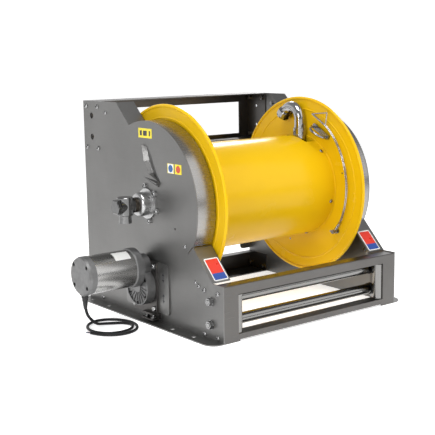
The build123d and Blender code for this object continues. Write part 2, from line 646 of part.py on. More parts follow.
neck_centre = (OUTLET[1] + NECK_BEND, NECK_TURN_Z)
neck_end = around(NECK_ANGLE, NECK_BEND, neck_centre)
neck_way = (0, sin(radians(NECK_ANGLE)), cos(radians(NECK_ANGLE)))
NECK_PLANE = Plane(origin=(OUTLET[0], *neck_end), z_dir=neck_way)
with BuildPart() as gooseneck_outlet:
    with BuildLine():
        Line((*OUTLET, NECK_START), (*OUTLET, NECK_TURN_Z))
        top = (OUTLET[0], *around(NECK_ANGLE / 2, NECK_BEND, neck_centre))
        ThreePointArc((*OUTLET, NECK_TURN_Z), top, (OUTLET[0], *neck_end))
    with BuildSketch(Plane(origin=(*OUTLET, NECK_START), z_dir=(0, 0, 1))):
        Circle(PIPE_RADIUS)
        Circle(PIPE_BORE, mode=Mode.SUBTRACT)
    sweep()
save(gooseneck_outlet, "gooseneck_outlet")
print("hose outlet at", (OUTLET[0], *neck_end), "pointing", neck_way)

NUT_LENGTH = 21.0
with BuildPart() as outlet_nut:
    with BuildSketch(NECK_PLANE):
        RegularPolygon(20.5, 6, major_radius=False)
    extrude(amount=NUT_LENGTH * 0.7)
    with BuildSketch(NECK_PLANE.offset(NUT_LENGTH * 0.7)):
        Circle(20)
    extrude(amount=NUT_LENGTH * 0.3)
    with BuildSketch(NECK_PLANE):
        Circle(THREAD_RADIUS)
    extrude(amount=NUT_LENGTH, mode=Mode.SUBTRACT)
save(outlet_nut, "outlet_nut")

# Hose clamp and retaining wire on the right disc ------------------------------------------
clamp_legs = [around(angle, CLAMP_ORBIT) for angle in CLAMP_ANGLES]
clamp_top = around(sum(CLAMP_ANGLES) / 2, CLAMP_ORBIT)
BOW_X = 232.0
with BuildPart() as hose_clamp:
    with BuildLine():
        legs = [[(x, *leg) for x in (DISC_FACE + 14, BOW_X)] for leg in clamp_legs]
        Line(*legs[0])
        ThreePointArc(legs[0][1], (BOW_X - 20, *clamp_top), legs[1][1])
        Line(legs[1][1], legs[1][0])
    with BuildSketch(Plane(origin=legs[0][0], z_dir=(-1, 0, 0))):
        Circle(BOLT_RADIUS)
    sweep()
    for leg in clamp_legs:
        hexagon((DISC_FACE - 7, DISC_FACE), 14.0, leg)
        hexagon((DISC_FACE + SHEET, DISC_FACE + SHEET + 7), 14.0, leg)
    with BuildSketch(Plane.YZ.offset(DISC_FACE - 10)):
        with Locations(Location(clamp_top, (0, 0, 90 - sum(CLAMP_ANGLES) / 2))):
            SlotOverall(76, 16)
    extrude(amount=3)
save(hose_clamp, "hose_clamp")

anchor = around(ANCHOR_ANGLE, ANCHOR_ORBIT)
wire_foot = around(-28, 210)
with BuildPart() as wire_anchor:
    rod((WIRE_X[0] - 4, DISC_FACE + SHEET), PIN_RADIUS - 1, anchor)
    rod((WIRE_X[0] - 7, WIRE_X[0] - 4), 6.0, anchor)
    rod((DISC_FACE - 4, DISC_FACE), 7.0, anchor)
save(wire_anchor, "wire_anchor")

EYE = [(-95.0, 548.0), (-157.0, 553.0), (-151.0, 518.0)]
wire_turn = around(57, 224)
with BuildPart() as retaining_wire:
    for x in WIRE_X:
        with BuildLine() as strand:
            ThreePointArc((x, *wire_foot), (x, *around(15, 213)), (x, *wire_turn))
        with BuildSketch(strand.line ^ 0):
            Circle(WIRE_RADIUS)
        sweep()
        bar(WIRE_RADIUS, (x, *wire_turn), (x, *EYE[0]))
        with Locations((x, *wire_turn)):
            Sphere(WIRE_RADIUS)
    eye_x = sum(WIRE_X) / 2
    for start, end in zip([wire_turn] + EYE, EYE + [wire_turn]):
        bar(WIRE_RADIUS + 0.2, (eye_x, *start), (eye_x, *end))
    for corner in EYE:
        with Locations((eye_x, *corner)):
            Sphere(WIRE_RADIUS + 0.2)
    rod((WIRE_X[0] - WIRE_RADIUS, WIRE_X[1] + WIRE_RADIUS), 3.2, wire_foot)
save(retaining_wire, "retaining_wire")

spring_way = (Vector(*wire_foot) - Vector(*anchor)).normalized()
spring_ends = [Vector(*anchor) + spring_way * 6, Vector(*wire_foot) - spring_way * 3.2]
with BuildPart() as wire_spring:
    bar(5.0, *[(eye_x, end.X, end.Y) for end in spring_ends])
    rod((eye_x - 4, eye_x + 4), 7.5, anchor)
    rod((eye_x - 5, eye_x + 5), PIN_RADIUS - 1 + RUNNING, anchor, Mode.SUBTRACT)
    rod((WIRE_X[0] - 3, WIRE_X[1] + 3), 3.2, wire_foot, Mode.SUBTRACT)
save(wire_spring, "wire_spring")

# Bearings and swivel ----------------------------------------------------------------------


def bearing_housing(side):
    """A flanged bearing housing, open for the shaft on the drive side only."""
    with BuildPart() as housing:
        outer_end = DOME_END if side < 0 else HOUSING_END
        rod((side * HALF_WIDTH, side * outer_end), HOUSING_RADIUS)
        for centre in HOUSING_SCREWS:
            rod((side * HALF_WIDTH, side * (HALF_WIDTH + 5)), LUG_RADIUS, centre)
        rod((side * HALF_WIDTH, side * (HALF_WIDTH + 5)), HOUSING_FLANGE)
        nose = housing.edges().filter_by(GeomType.CIRCLE).group_by(Axis.X)[-1 if side > 0 else 0]
        fillet(nose, 3 if side > 0 else DOME_FILLET)
        rod((side * (HALF_WIDTH - 1), side * (HOUSING_END - 3)), 29.0, mode=Mode.SUBTRACT)
        if side < 0:
            rod((-DOME_END - 1, -HALF_WIDTH), SHAFT_RADIUS + 0.8, mode=Mode.SUBTRACT)
        for centre in HOUSING_SCREWS:
            rod((side * (HALF_WIDTH - 1), side * (HALF_WIDTH + 6)), BOLT_HOLE, centre, Mode.SUBTRACT)
    return housing


left_bearing_housing = bearing_housing(-1)
save(left_bearing_housing, "left_bearing_housing")
right_bearing_housing = bearing_housing(1)
save(right_bearing_housing, "right_bearing_housing")

BEARING_X = (HALF_WIDTH + 3, HALF_WIDTH + 17)
with BuildPart() as drum_bearings:
    for side in SIDES:
        rod([side * x for x in BEARING_X], 29.0)
        rod([side * x for x in BEARING_X], SHAFT_RADIUS + RUNNING, mode=Mode.SUBTRACT)
save(drum_bearings, "drum_bearings")

housing_screw = button_screw(BOLT_RADIUS, SHEET + 5, 6.5, 13.0)
with BuildPart() as housing_bolts:
    for side in SIDES:
        place(housing_screw, [(side * (HALF_WIDTH + 5), y, z) for y, z in HOUSING_SCREWS], side)
save(housing_bolts, "housing_bolts")

with BuildPart() as swivel_nipple:
    rod((RING_END, -SHAFT_END), RING_RADIUS)
    chamfer(swivel_nipple.edges().filter_by(GeomType.CIRCLE), 1.2)
    rod((SPIGOT_END, RING_END), SPIGOT_RADIUS)
    rod((SPIGOT_END - 1, -SHAFT_END + 1), SHAFT_BORE, mode=Mode.SUBTRACT)
save(swivel_nipple, "swivel_nipple")

with BuildPart() as swivel_elbow:
    post((AXIS[1] - UPRIGHT_HALF, AXIS[1] + UPRIGHT_HALF), UPRIGHT_RADIUS, (PORT_X, AXIS[0]))
    chamfer(swivel_elbow.edges().filter_by(GeomType.CIRCLE), 1.5)
    rod(ELBOW, ELBOW_RADIUS)
    post((PORT_END, AXIS[1]), PORT_RADIUS, (PORT_X, AXIS[0]))
    rod((SPIGOT_END - 1, ELBOW[1] + 1), SPIGOT_RADIUS + RUNNING, mode=Mode.SUBTRACT)
    rod((ELBOW[0] + 4, ELBOW[1]), SHAFT_BORE - 1, mode=Mode.SUBTRACT)
    post((PORT_END, AXIS[1]), SHAFT_BORE - 1, (PORT_X, AXIS[0]), Mode.SUBTRACT)
    post((PORT_END - 1, PORT_END + THREAD_DEPTH), THREAD_RADIUS, (PORT_X, AXIS[0]), Mode.SUBTRACT)
save(swivel_elbow, "swivel_elbow")

with BuildPart() as swivel_end_plug:
    hexagon((PLUG_END, ELBOW[0]), 2 * PLUG_RADIUS * cos(pi / 6))
    chamfer(swivel_end_plug.faces().sort_by(Axis.X)[0].edges(), 2)
save(swivel_end_plug, "swivel_end_plug")

# Chain drive ------------------------------------------------------------------------------


def sprocket_outline(centre, teeth, pitch_radius, phase):
    """A disc with a round seat and an open flare for each chain bush."""
    with Locations(centre):
        Circle(pitch_radius + TOOTH_HEIGHT)
        with PolarLocations(pitch_radius, teeth, start_angle=phase):
            Circle(BUSH + 0.2, mode=Mode.SUBTRACT)
            Polygon((0, -4.4), (4, -6.2), (4, 6.2), (0, 4.4), align=None, mode=Mode.SUBTRACT)


SPROCKET_X = (CHAIN_X - SPROCKET_HALF, CHAIN_X + SPROCKET_HALF)
with BuildPart() as driven_sprocket:
    with BuildSketch(Plane.YZ.offset(SPROCKET_X[0])):
        sprocket_outline(AXIS, DRUM_TEETH, drum_pitch, DRUM_PHASE)
        with Locations(*[around(60 * step, 80.0) for step in range(6)]):
            Circle(22, mode=Mode.SUBTRACT)
    extrude(amount=2 * SPROCKET_HALF)
    rod((SPROCKET_X[1], -FLANGE[1]), 45.0)
    rod((SPROCKET_X[0] - 1, -FLANGE[1] + 1), SHAFT_RADIUS, mode=Mode.SUBTRACT)
    for centre in HUB_BOLTS:
        rod((SPROCKET_X[0] - 1, -FLANGE[1] + 1), BOLT_HOLE, centre, Mode.SUBTRACT)
save(driven_sprocket, "driven_sprocket")

with BuildPart() as hub_bolts:
    long_bolt = hex_bolt(BOLT_RADIUS, -END_PLATE[0] - SPROCKET_X[0], 13.0)
    place(long_bolt, [(SPROCKET_X[0], y, z) for y, z in HUB_BOLTS], -1)
    short_bolt = hex_bolt(BOLT_RADIUS, FLANGE[1] - END_PLATE[0], 13.0)
    place(short_bolt, [(FLANGE[1], y, z) for y, z in HUB_BOLTS], 1)
save(hub_bolts, "hub_bolts")

with BuildPart() as drive_sprocket:
    with BuildSketch(Plane.YZ.offset(SPROCKET_X[0])):
        sprocket_outline(OUTPUT, DRIVE_TEETH, drive_pitch, DRIVE_PHASE)
    extrude(amount=2 * SPROCKET_HALF)
    rod((SPROCKET_X[0] - 14, SPROCKET_X[0]), 17.0, OUTPUT)
    rod((SPROCKET_X[0] - 15, SPROCKET_X[1] + 1), OUTPUT_RADIUS, OUTPUT, Mode.SUBTRACT)
save(drive_sprocket, "drive_sprocket")


def link_plates(inside, thickness, half_height):
    """The two plates of one link, from its first pin at the origin towards +Y."""
    for side in SIDES:
        with BuildSketch(Plane.YZ.offset(side * inside)) as plate:
            with Locations((PITCH / 2, 0)):
                SlotCenterToCenter(PITCH, 2 * half_height)
        extrude(plate.sketch, amount=side * thickness)


with BuildPart() as outer_link:
    link_plates(5.0, 1.4, 4.8)
    for y in (0, PITCH):
        rod((-7.2, 7.2), 1.9, (y, 0))

with BuildPart() as inner_link:
    link_plates(3.2, 1.4, 5.2)
    for y in (0, PITCH):
        rod((-3.2, 3.2), BUSH, (y, 0))
        rod((-5, 5), 2.15, (y, 0), Mode.SUBTRACT)

with BuildPart() as drive_chain:
    for index in range(LINKS):
        start, end = chain_pin(index), chain_pin(index + 1)
        turn = degrees(atan2(end.Y - start.Y, end.X - start.X))
        with Locations(Location((CHAIN_X, start.X, start.Y), (turn, 0, 0))):
            add(outer_link.part if index % 2 else inner_link.part)
save(drive_chain, "drive_chain")

# Gearmotor --------------------------------------------------------------------------------


def gear_outline(centre, teeth, phase):
    """Straight-flanked teeth on a root circle, with generous backlash."""
    pitch_radius = MODULE * teeth / 2
    root, tip = pitch_radius - 1.1 * MODULE, pitch_radius + 0.9 * MODULE
    with Locations(centre):
        Circle(root)
        with PolarLocations(0, teeth, start_angle=phase):
            Polygon((root - 1, -1.8), (tip, -0.6), (tip, 0.6), (root - 1, 1.8), align=None)


GEAR_X = (CASE_FRONT + 3, CASE_BACK - CASE_WALL - 2)
with BuildPart() as output_gear:
    with BuildSketch(Plane.YZ.offset(GEAR_X[0])):
        gear_outline(OUTPUT, GEAR_TEETH, 90)
    extrude(amount=GEAR_X[1] - GEAR_X[0])
    rod((GEAR_X[1], SPROCKET_X[1] + 3), OUTPUT_RADIUS, OUTPUT)
    rod((COVER_FACE + 2.5, GEAR_X[0]), JOURNAL_RADIUS, OUTPUT)
save(output_gear, "output_gear")

with BuildPart() as motor_rotor:
    with BuildSketch(Plane.YZ.offset(GEAR_X[0])):
        gear_outline(MOTOR, PINION_TEETH, -90 + 180 / PINION_TEETH)
    extrude(amount=GEAR_X[1] - GEAR_X[0])
    rod((-523.5, GEAR_X[0]), ROTOR_SHAFT, MOTOR)
    rod((-500, -400), BODY_BORE - 1, MOTOR)
save(motor_rotor, "motor_rotor")

PINION_POCKET = 16.0
with BuildPart() as gearbox_housing:
    rod((CASE_FRONT, CASE_BACK), CASE_RADIUS, OUTPUT)
    rod((MOTOR_FLANGE_END, CASE_BACK), NECK_RADIUS, MOTOR)
    rod((CASE_FRONT, CASE_BACK - CASE_WALL), CASE_RADIUS - 4, OUTPUT, Mode.SUBTRACT)
    rod((CASE_FRONT, CASE_BACK - CASE_WALL), PINION_POCKET, MOTOR, Mode.SUBTRACT)
    rod((MOTOR_FLANGE_END - 1, CASE_FRONT + 1), 12.0, MOTOR, Mode.SUBTRACT)
    rod((CASE_BACK - CASE_WALL - 1, CASE_BACK + 1), 16.0, OUTPUT, Mode.SUBTRACT)
save(gearbox_housing, "gearbox_housing")

RIB_FACE = COVER_FACE + 1.5
COVER_PLATE = CASE_FRONT - 3
COVER_SCREWS = [on_circle(OUTPUT, 46.0, radians(angle)) for angle in (-150, -90, -30, 30, 150)]
with BuildPart() as gearbox_cover:
    rod((COVER_PLATE, CASE_FRONT), CASE_RADIUS, OUTPUT)
    rod((COVER_FACE, COVER_PLATE), CASE_RADIUS, OUTPUT)
    rod((COVER_FACE - 1, COVER_PLATE), CASE_RADIUS - 3.5, OUTPUT, Mode.SUBTRACT)
    rod((COVER_FACE, COVER_PLATE), 16.0, OUTPUT)
    for step in range(20):
        way = radians(9 + 18 * step)
        with Locations(Location(((RIB_FACE + COVER_PLATE) / 2, *OUTPUT), (degrees(way), 0, 0))):
            with Locations((0, 33, 0)):
                Box(COVER_PLATE - RIB_FACE, 36, 2.2)
    for point in COVER_SCREWS:
        rod((RIB_FACE, COVER_PLATE), 5.5, (point.X, point.Y))
        rod((COVER_FACE - 1, RIB_FACE), 5.0, (point.X, point.Y), Mode.SUBTRACT)
    rod((COVER_FACE + 2, CASE_FRONT + 1), 13.0, OUTPUT, Mode.SUBTRACT)
    rod((COVER_FACE - 1, CASE_FRONT + 1), NECK_RADIUS + 1, MOTOR, Mode.SUBTRACT)
    for point in COVER_SCREWS:
        rod((COVER_FACE - 1, CASE_FRONT + 1), 2.5, (point.X, point.Y), Mode.SUBTRACT)
save(gearbox_cover, "gearbox_cover")

with BuildPart() as gearmotor_bearings:
    for stations, outer, inner, centre in (
        ((CAP_BACK - 12, CAP_BACK - 2), 15.0, ROTOR_SHAFT, MOTOR),
        ((MOTOR_FLANGE_END - 12, MOTOR_FLANGE_END), 15.0, ROTOR_SHAFT, MOTOR),
        ((CASE_BACK - CASE_WALL, CASE_BACK), 16.0, OUTPUT_RADIUS, OUTPUT),
        ((COVER_FACE + 2, CASE_FRONT), 13.0, JOURNAL_RADIUS, OUTPUT),
    ):
        rod(stations, outer, centre)
        rod(stations, inner + RUNNING, centre, Mode.SUBTRACT)
save(gearmotor_bearings, "gearmotor_bearings")

with BuildPart() as motor_flange:
    rod((BODY_END, MOTOR_FLANGE_END), MOTOR_FLANGE_RADIUS, MOTOR)
    fillet(motor_flange.edges().filter_by(GeomType.CIRCLE).sort_by(Axis.X)[0], 4)
    fillet(motor_flange.edges().filter_by(GeomType.CIRCLE).sort_by(Axis.X)[-1], 2)
    rod((BODY_END - 1, MOTOR_FLANGE_END - 12), BODY_BORE, MOTOR, Mode.SUBTRACT)
    rod((BODY_END, MOTOR_FLANGE_END + 1), 15.0, MOTOR, Mode.SUBTRACT)
save(motor_flange, "motor_flange")

with BuildPart() as motor_body:
    rod((CAP_BACK, BODY_END), BODY_RADIUS, MOTOR)
    rod((CAP_BACK - 1, BODY_END + 1), BODY_BORE, MOTOR, Mode.SUBTRACT)
save(motor_body, "motor_body")

CAP_SCREWS = [on_circle(MOTOR, 43.0, radians(angle)) for angle in (40, 140, 220, 320)]
with BuildPart() as motor_end_cap:
    rod((CAP_FACE, CAP_BACK), CAP_RADIUS, MOTOR)
    chamfer(motor_end_cap.edges().filter_by(GeomType.CIRCLE).sort_by(Axis.X)[0], 7, 3)
    block((CABLE_X - 10, CABLE_X + 10), (OUTPUT_Y - 10, OUTPUT_Y + 10), (GLAND_Z[1], MOTOR[1] - 44))
    rod((CAP_BACK - 14, CAP_BACK + 1), 15.0, MOTOR, Mode.SUBTRACT)
    for point in CAP_SCREWS:
        rod((CAP_FACE - 1, CAP_BACK + 1), 2.5, (point.X, point.Y), Mode.SUBTRACT)
        rod((CAP_FACE - 1, CAP_FACE + 7), 5.5, (point.X, point.Y), Mode.SUBTRACT)
save(motor_end_cap, "motor_end_cap")

with BuildPart() as socket_screw:
    rod((0, 5), 4.25, (0, 0))
    hexagon((2, 6), 4.0, (0, 0), Mode.SUBTRACT)
    rod((-14, 0), 2.3, (0, 0))

with BuildPart() as gearmotor_screws:
    place(socket_screw.part, [(CAP_FACE + 7, p.X, p.Y) for p in CAP_SCREWS], -1)
    for point in COVER_SCREWS:
        with Locations(Location((RIB_FACE, point.X, point.Y), (0, 0, 180))):
            add(button_screw(2.3, 5.0, 4.25))
save(gearmotor_screws, "gearmotor_screws")

with BuildPart() as cable_gland:
    with BuildSketch(Plane.XY.offset(GLAND_Z[1] - 7)):
        with Locations((CABLE_X, OUTPUT_Y)):
            RegularPolygon(9.5, 6, major_radius=False)
    extrude(amount=7)
    post((GLAND_Z[0], GLAND_Z[1] - 7), 8.0, (CABLE_X, OUTPUT_Y))
    fillet(cable_gland.edges().filter_by(GeomType.CIRCLE).sort_by(Axis.Z)[0], 3)
save(cable_gland, "cable_gland")

# Motor mount ------------------------------------------------------------------------------
with BuildPart() as motor_mount_plate:
    with BuildSketch(Plane.YZ.offset(MOUNT_FACE)):
        with Locations((sum(MOUNT_Y) / 2, sum(MOUNT_Z) / 2)):
            RectangleRounded(MOUNT_Y[1] - MOUNT_Y[0], MOUNT_Z[1] - MOUNT_Z[0], 10)
        gearmotor_slots()
    extrude(amount=-HALF_WIDTH - MOUNT_FACE)
save(motor_mount_plate, "motor_mount_plate")

with BuildPart() as motor_slide_plate:
    with BuildSketch(Plane.YZ.offset(SLIDE_FACE)):
        with Locations((sum(SLIDE_Y) / 2, sum(SLIDE_Z) / 2)):
            Rectangle(SLIDE_Y[1] - SLIDE_Y[0], SLIDE_Z[1] - SLIDE_Z[0])
        with Locations(*SLIDE_BOLTS):
            Circle(BOLT_HOLE, mode=Mode.SUBTRACT)
        with Locations(OUTPUT):
            Circle(14, mode=Mode.SUBTRACT)
    extrude(amount=MOUNT_FACE - SLIDE_FACE)
    block((TENSION_X - 9, SLIDE_FACE), (SLIDE_Y[0], TENSION_Y[1] + 12), (SLIDE_Z[0], SLIDE_Z[0] + 4))
save(motor_slide_plate, "motor_slide_plate")

SHELF_Z = (8.0, 12.0)
SLIDE_GRIP = 18.0  # mount, plate and nut
with BuildPart() as tension_foot:
    block((MOUNT_FACE, -HALF_WIDTH), (TENSION_Y[0] - 12, TENSION_Y[1] + 14), (SHELF_Z[0], MOUNT_Z[0]))
    block((TENSION_X - 10, MOUNT_FACE), (TENSION_Y[0] - 12, TENSION_Y[1] + 14), SHELF_Z)
    for y in TENSION_Y:
        post((0, 20), BOLT_RADIUS, (TENSION_X, y), Mode.SUBTRACT)
save(tension_foot, "tension_foot")

with BuildPart() as motor_mount_bolts:
    slide_bolt = hex_bolt(BOLT_RADIUS, SLIDE_GRIP, 13.0)
    place(slide_bolt, [(SLIDE_FACE, y, z) for y, z in SLIDE_BOLTS], -1)
    for y, z in SLIDE_BOLTS:
        hexagon((-INNER, -INNER + 6.5), 13.0, (y, z))
    for y in TENSION_Y:
        post((5, SLIDE_Z[0]), BOLT_RADIUS, (TENSION_X, y))
        with BuildSketch(Plane.XY.offset(SHELF_Z[1])):
            with Locations((TENSION_X, y)):
                RegularPolygon(6.5, 6, major_radius=False)
        extrude(amount=6.5)
save(motor_mount_bolts, "motor_mount_bolts")

# Labels, all blank ------------------------------------------------------------------------
LABEL = 0.4
LABEL_DROP = -74.0  # along the slope, from its top to the middle of the label
with BuildPart() as panel_labels:
    for y, z in (((-56, 8), (508, 534)), ((-156, -127), (421, 447)), ((-190, -161), (421, 447))):
        block((-HALF_WIDTH - LABEL, -HALF_WIDTH), y, z)
save(panel_labels, "panel_labels")

label_plane = Plane(
    origin=(0, *arc_front), x_dir=(1, 0, 0), z_dir=Vector(0, slope.Y, -slope.X)
)
with BuildPart() as front_labels:
    for side in SIDES:
        with BuildSketch(label_plane):
            with Locations((side * 286, LABEL_DROP)):
                RectangleRounded(46, 70, 4)
        extrude(amount=LABEL)
save(front_labels, "front_labels")

with BuildPart() as motor_label:
    rod((-446, -398), BODY_RADIUS + LABEL, MOTOR)
    rod((-447, -397), BODY_RADIUS, MOTOR, Mode.SUBTRACT)
    with BuildSketch(Plane.YZ.offset(-447)):
        with BuildLine():
            corners = [on_circle(MOTOR, 80, radians(angle)) for angle in (103, 137)]
            Polyline(MOTOR, *[(p.X, p.Y) for p in corners], close=True)
        make_face()
    extrude(amount=60, mode=Mode.INTERSECT)
save(motor_label, "motor_label")

# Power cable ------------------------------------------------------------------------------


def bend_radii(route):
    """Each bend as large as its two runs allow."""
    radii = []
    for before, point, after in zip(route, route[1:], route[2:]):
        first = Vector(*point) - Vector(*before)
        second = Vector(*after) - Vector(*point)
        half_turn = radians(first.get_angle(second) / 2)
        radii.append(0.45 * min(first.length, second.length) / tan(half_turn))
    return radii


cable_radii = bend_radii(CABLE_ROUTE)
print("cable bend radii", [round(radius) for radius in cable_radii])
with BuildPart() as power_cable:
    with BuildLine() as cable_line:
        FilletPolyline(*CABLE_ROUTE, radius=cable_radii)
    with BuildSketch(cable_line.line ^ 0):
        Circle(CABLE_RADIUS)
    sweep()
swept = pi * CABLE_RADIUS**2 * cable_line.wires()[0].length
print("cable volume", power_cable.part.volume, "section by length", swept)
save(power_cable, "power_cable")

with BuildPart() as power_cable_coil:
    with BuildSketch():
        with Locations(COIL_CENTRE):
            Ellipse(*COIL_OUTER)
            Ellipse(*COIL_INNER, mode=Mode.SUBTRACT)
    extrude(amount=COIL_HEIGHT)
save(power_cable_coil, "power_cable_coil")
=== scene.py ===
import json
import math

import bmesh
import bpy
from mathutils import Matrix, Vector


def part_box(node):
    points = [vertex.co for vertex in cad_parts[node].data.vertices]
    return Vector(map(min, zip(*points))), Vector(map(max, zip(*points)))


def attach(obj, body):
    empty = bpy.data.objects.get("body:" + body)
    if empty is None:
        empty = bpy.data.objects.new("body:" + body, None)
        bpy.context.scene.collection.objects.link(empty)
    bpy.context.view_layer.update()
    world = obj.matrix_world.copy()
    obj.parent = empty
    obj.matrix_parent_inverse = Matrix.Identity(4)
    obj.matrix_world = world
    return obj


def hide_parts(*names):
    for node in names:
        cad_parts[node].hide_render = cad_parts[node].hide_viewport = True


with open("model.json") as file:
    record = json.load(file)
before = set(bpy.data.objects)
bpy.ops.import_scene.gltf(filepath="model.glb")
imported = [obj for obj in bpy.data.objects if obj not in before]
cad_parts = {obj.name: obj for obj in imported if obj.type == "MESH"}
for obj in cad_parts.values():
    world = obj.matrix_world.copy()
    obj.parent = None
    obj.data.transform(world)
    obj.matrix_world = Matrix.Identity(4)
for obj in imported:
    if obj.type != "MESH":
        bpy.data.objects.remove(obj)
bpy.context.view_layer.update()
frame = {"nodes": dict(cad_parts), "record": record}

# Places that the detail pieces share with the CAD, in metres ---------------------------------
DRUM_AXIS = Vector((0, -0.028, 0.328))
BARREL_LOW, BARREL_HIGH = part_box("drum_barrel")
BARREL_RADIUS = (BARREL_HIGH[1] - BARREL_LOW[1]) / 2


# Camera ---------------------------------------------------------------------------------------
def set_camera():
    """A long lens in front of the object, a little above it and to its left."""
    data = bpy.data.cameras.new("camera")
    data.lens, data.sensor_width = 80.1, 36.0
    data.clip_start, data.clip_end = 0.1, 60.0
    camera = bpy.data.objects.new("camera", data)
    yaw, pitch, roll = math.radians(37.87), math.radians(9.77), math.radians(-0.88)
    ahead = Vector((math.sin(yaw) * math.cos(pitch), math.cos(yaw) * math.cos(pitch), -math.sin(pitch)))
    right = Vector((math.cos(yaw), -math.sin(yaw), 0))
    up = right.cross(ahead)
    level = Matrix((right, up, -ahead)).transposed().to_4x4()
    camera.matrix_world = Matrix.Translation((-1.786, -2.225, 0.739)) @ level @ Matrix.Rotation(roll, 4, "Z")
    bpy.context.scene.collection.objects.link(camera)
    bpy.context.scene.camera = camera


set_camera()


# Materials ------------------------------------------------------------------------------------
class Look:
    """A principled material whose textures are laid in object space, in metres."""

    def __init__(self, name, color, metallic=0.0, roughness=0.5, **sockets):
        self.material = bpy.data.materials.new(name)
        self.material.use_nodes = True
        self.nodes = self.material.node_tree.nodes
        self.links = self.material.node_tree.links
        self.shader = self.nodes["Principled BSDF"]
        self.space = self.nodes.new("ShaderNodeTexCoord").outputs["Object"]
        self.color = color
        self.shader.inputs["Base Color"].default_value = (*color, 1)
        self.shader.inputs["Metallic"].default_value = metallic
        self.shader.inputs["Roughness"].default_value = roughness
        for socket, value in sockets.items():
            self.shader.inputs[socket.replace("_", " ")].default_value = value
        self.height = None

    def node(self, kind, **values):
        made = self.nodes.new(kind)
        for key, value in values.items():
            if key in made.inputs:
                made.inputs[key].default_value = value
            else:
                setattr(made, key, value)
        return made

    def noise(self, scale, stretch=(1, 1, 1), detail=4.0, roughness=0.55):
        """Noise of a given number of cells per metre, stretched along the axes."""
        mapping = self.node("ShaderNodeMapping", Scale=stretch)
        self.links.new(self.space, mapping.inputs["Vector"])
        noise = self.node("ShaderNodeTexNoise", Scale=scale, Detail=detail, Roughness=roughness)
        self.links.new(mapping.outputs[0], noise.inputs["Vector"])
        return noise.outputs["Fac"]

    def spread(self, value, low, high, start=0.3, end=0.7):
        """Map a factor's middle range onto low to high."""
        ranged = self.node("ShaderNodeMapRange")
        for socket, number in (("From Min", start), ("From Max", end), ("To Min", low), ("To Max", high)):
            ranged.inputs[socket].default_value = number
        self.links.new(value, ranged.inputs["Value"])
        return ranged.outputs["Result"]

    def vary_roughness(self, value, low, high):
        self.links.new(self.spread(value, low, high), self.shader.inputs["Roughness"])

    def mix(self, first, second, factor):
        """Blend two colours, each a tuple or a socket, by a factor."""
        mix = self.node("ShaderNodeMix", data_type="RGBA")
        self.links.new(factor, mix.inputs["Factor"])
        ends = [socket for socket in mix.inputs if socket.type == "RGBA"]
        for socket, color in zip(ends, (first, second)):
            if isinstance(color, tuple):
                socket.default_value = (*color, 1)
            else:
                self.links.new(color, socket)
        return [socket for socket in mix.outputs if socket.type == "RGBA"][0]

    def vary_color(self, value, dark, light):
        """Blend the base colour between two colours by a factor's middle range."""
        blend = self.mix(dark, light, self.spread(value, 0.0, 1.0))
        self.links.new(blend, self.shader.inputs["Base Color"])

    def bump(self, value, distance, strength=1.0):
        """Add a height, in metres, on top of the heights already there."""
        bump = self.node("ShaderNodeBump", Distance=distance, Strength=strength)
        self.links.new(value, bump.inputs["Height"])
        if self.height:
            self.links.new(self.height, bump.inputs["Normal"])
        self.height = bump.outputs["Normal"]
        self.links.new(self.height, self.shader.inputs["Normal"])

    def axis(self, name):
        """One object-space coordinate, in metres."""
        split = self.node("ShaderNodeSeparateXYZ")
        self.links.new(self.space, split.inputs[0])
        return split.outputs[name]

    def math(self, operation, first, second):
        """A maths node on sockets or numbers."""
        node = self.node("ShaderNodeMath", operation=operation)
        for socket, value in zip(node.inputs, (first, second)):
            if isinstance(value, (int, float)):
                socket.default_value = value
            else:
                self.links.new(value, socket)
        return node.outputs[0]


def shade(gray, tint=(1.0, 1.0, 1.0)):
    return tuple(gray * part for part in tint)


def brushed(name, gray, stretch, rough=(0.3, 0.42), tint=(1.0, 0.99, 0.97), metallic=1.0, depth=0.00004):
    """Sheet steel with a grain along the axis that stretch leaves short."""
    look = Look(name, shade(gray, tint), metallic)
    grain = look.noise(900, stretch, 5.0, 0.7)
    cloud = look.noise(7, (1, 1, 1), 3.0)
    look.vary_roughness(grain, *rough)
    look.vary_color(cloud, shade(gray * 0.93, tint), shade(gray * 1.05, tint))
    look.bump(grain, depth, 0.5)
    return look.material


def cast(name, gray, rough=(0.42, 0.6)):
    """Fine sand-cast aluminium with a slightly mottled skin."""
    look = Look(name, shade(gray), 0.9)
    look.vary_roughness(look.noise(60), *rough)
    look.vary_color(look.noise(35, detail=6.0), shade(gray * 0.82), shade(gray * 1.12))
    look.bump(look.noise(1400, detail=2.0), 0.00012, 0.6)
    return look.material


def plated(name, gray, rough=(0.16, 0.3), tint=(1.0, 1.0, 1.0)):
    """Zinc-plated hardware with faint stains."""
    look = Look(name, shade(gray, tint), 1.0)
    look.vary_roughness(look.noise(160), *rough)
    look.vary_color(look.noise(90, detail=5.0), shade(gray * 0.85, tint), shade(gray * 1.08, tint))
    look.bump(look.noise(700), 0.00004, 0.5)
    return look.material


def yellow_paint():
    """Gloss powder coat with orange peel, thin and even in colour."""
    look = Look("yellow_paint", (0.80, 0.49, 0.012), 0.0, 0.28)
    look.shader.inputs["Specular IOR Level"].default_value = 0.2
    look.vary_roughness(look.noise(14), 0.2, 0.28)
    look.vary_color(look.noise(5), (0.74, 0.45, 0.004), (0.78, 0.48, 0.005))
    look.bump(look.noise(260, detail=1.5), 0.00010, 0.3)
    return look.material


def plain_paint(name, color, roughness=0.35):
    """A printed or moulded surface with a very fine texture."""
    look = Look(name, color, 0.0, roughness)
    look.vary_roughness(look.noise(40), roughness * 0.85, roughness * 1.2)
    look.bump(look.noise(1200, detail=2.0), 0.00003, 0.4)
    return look.material


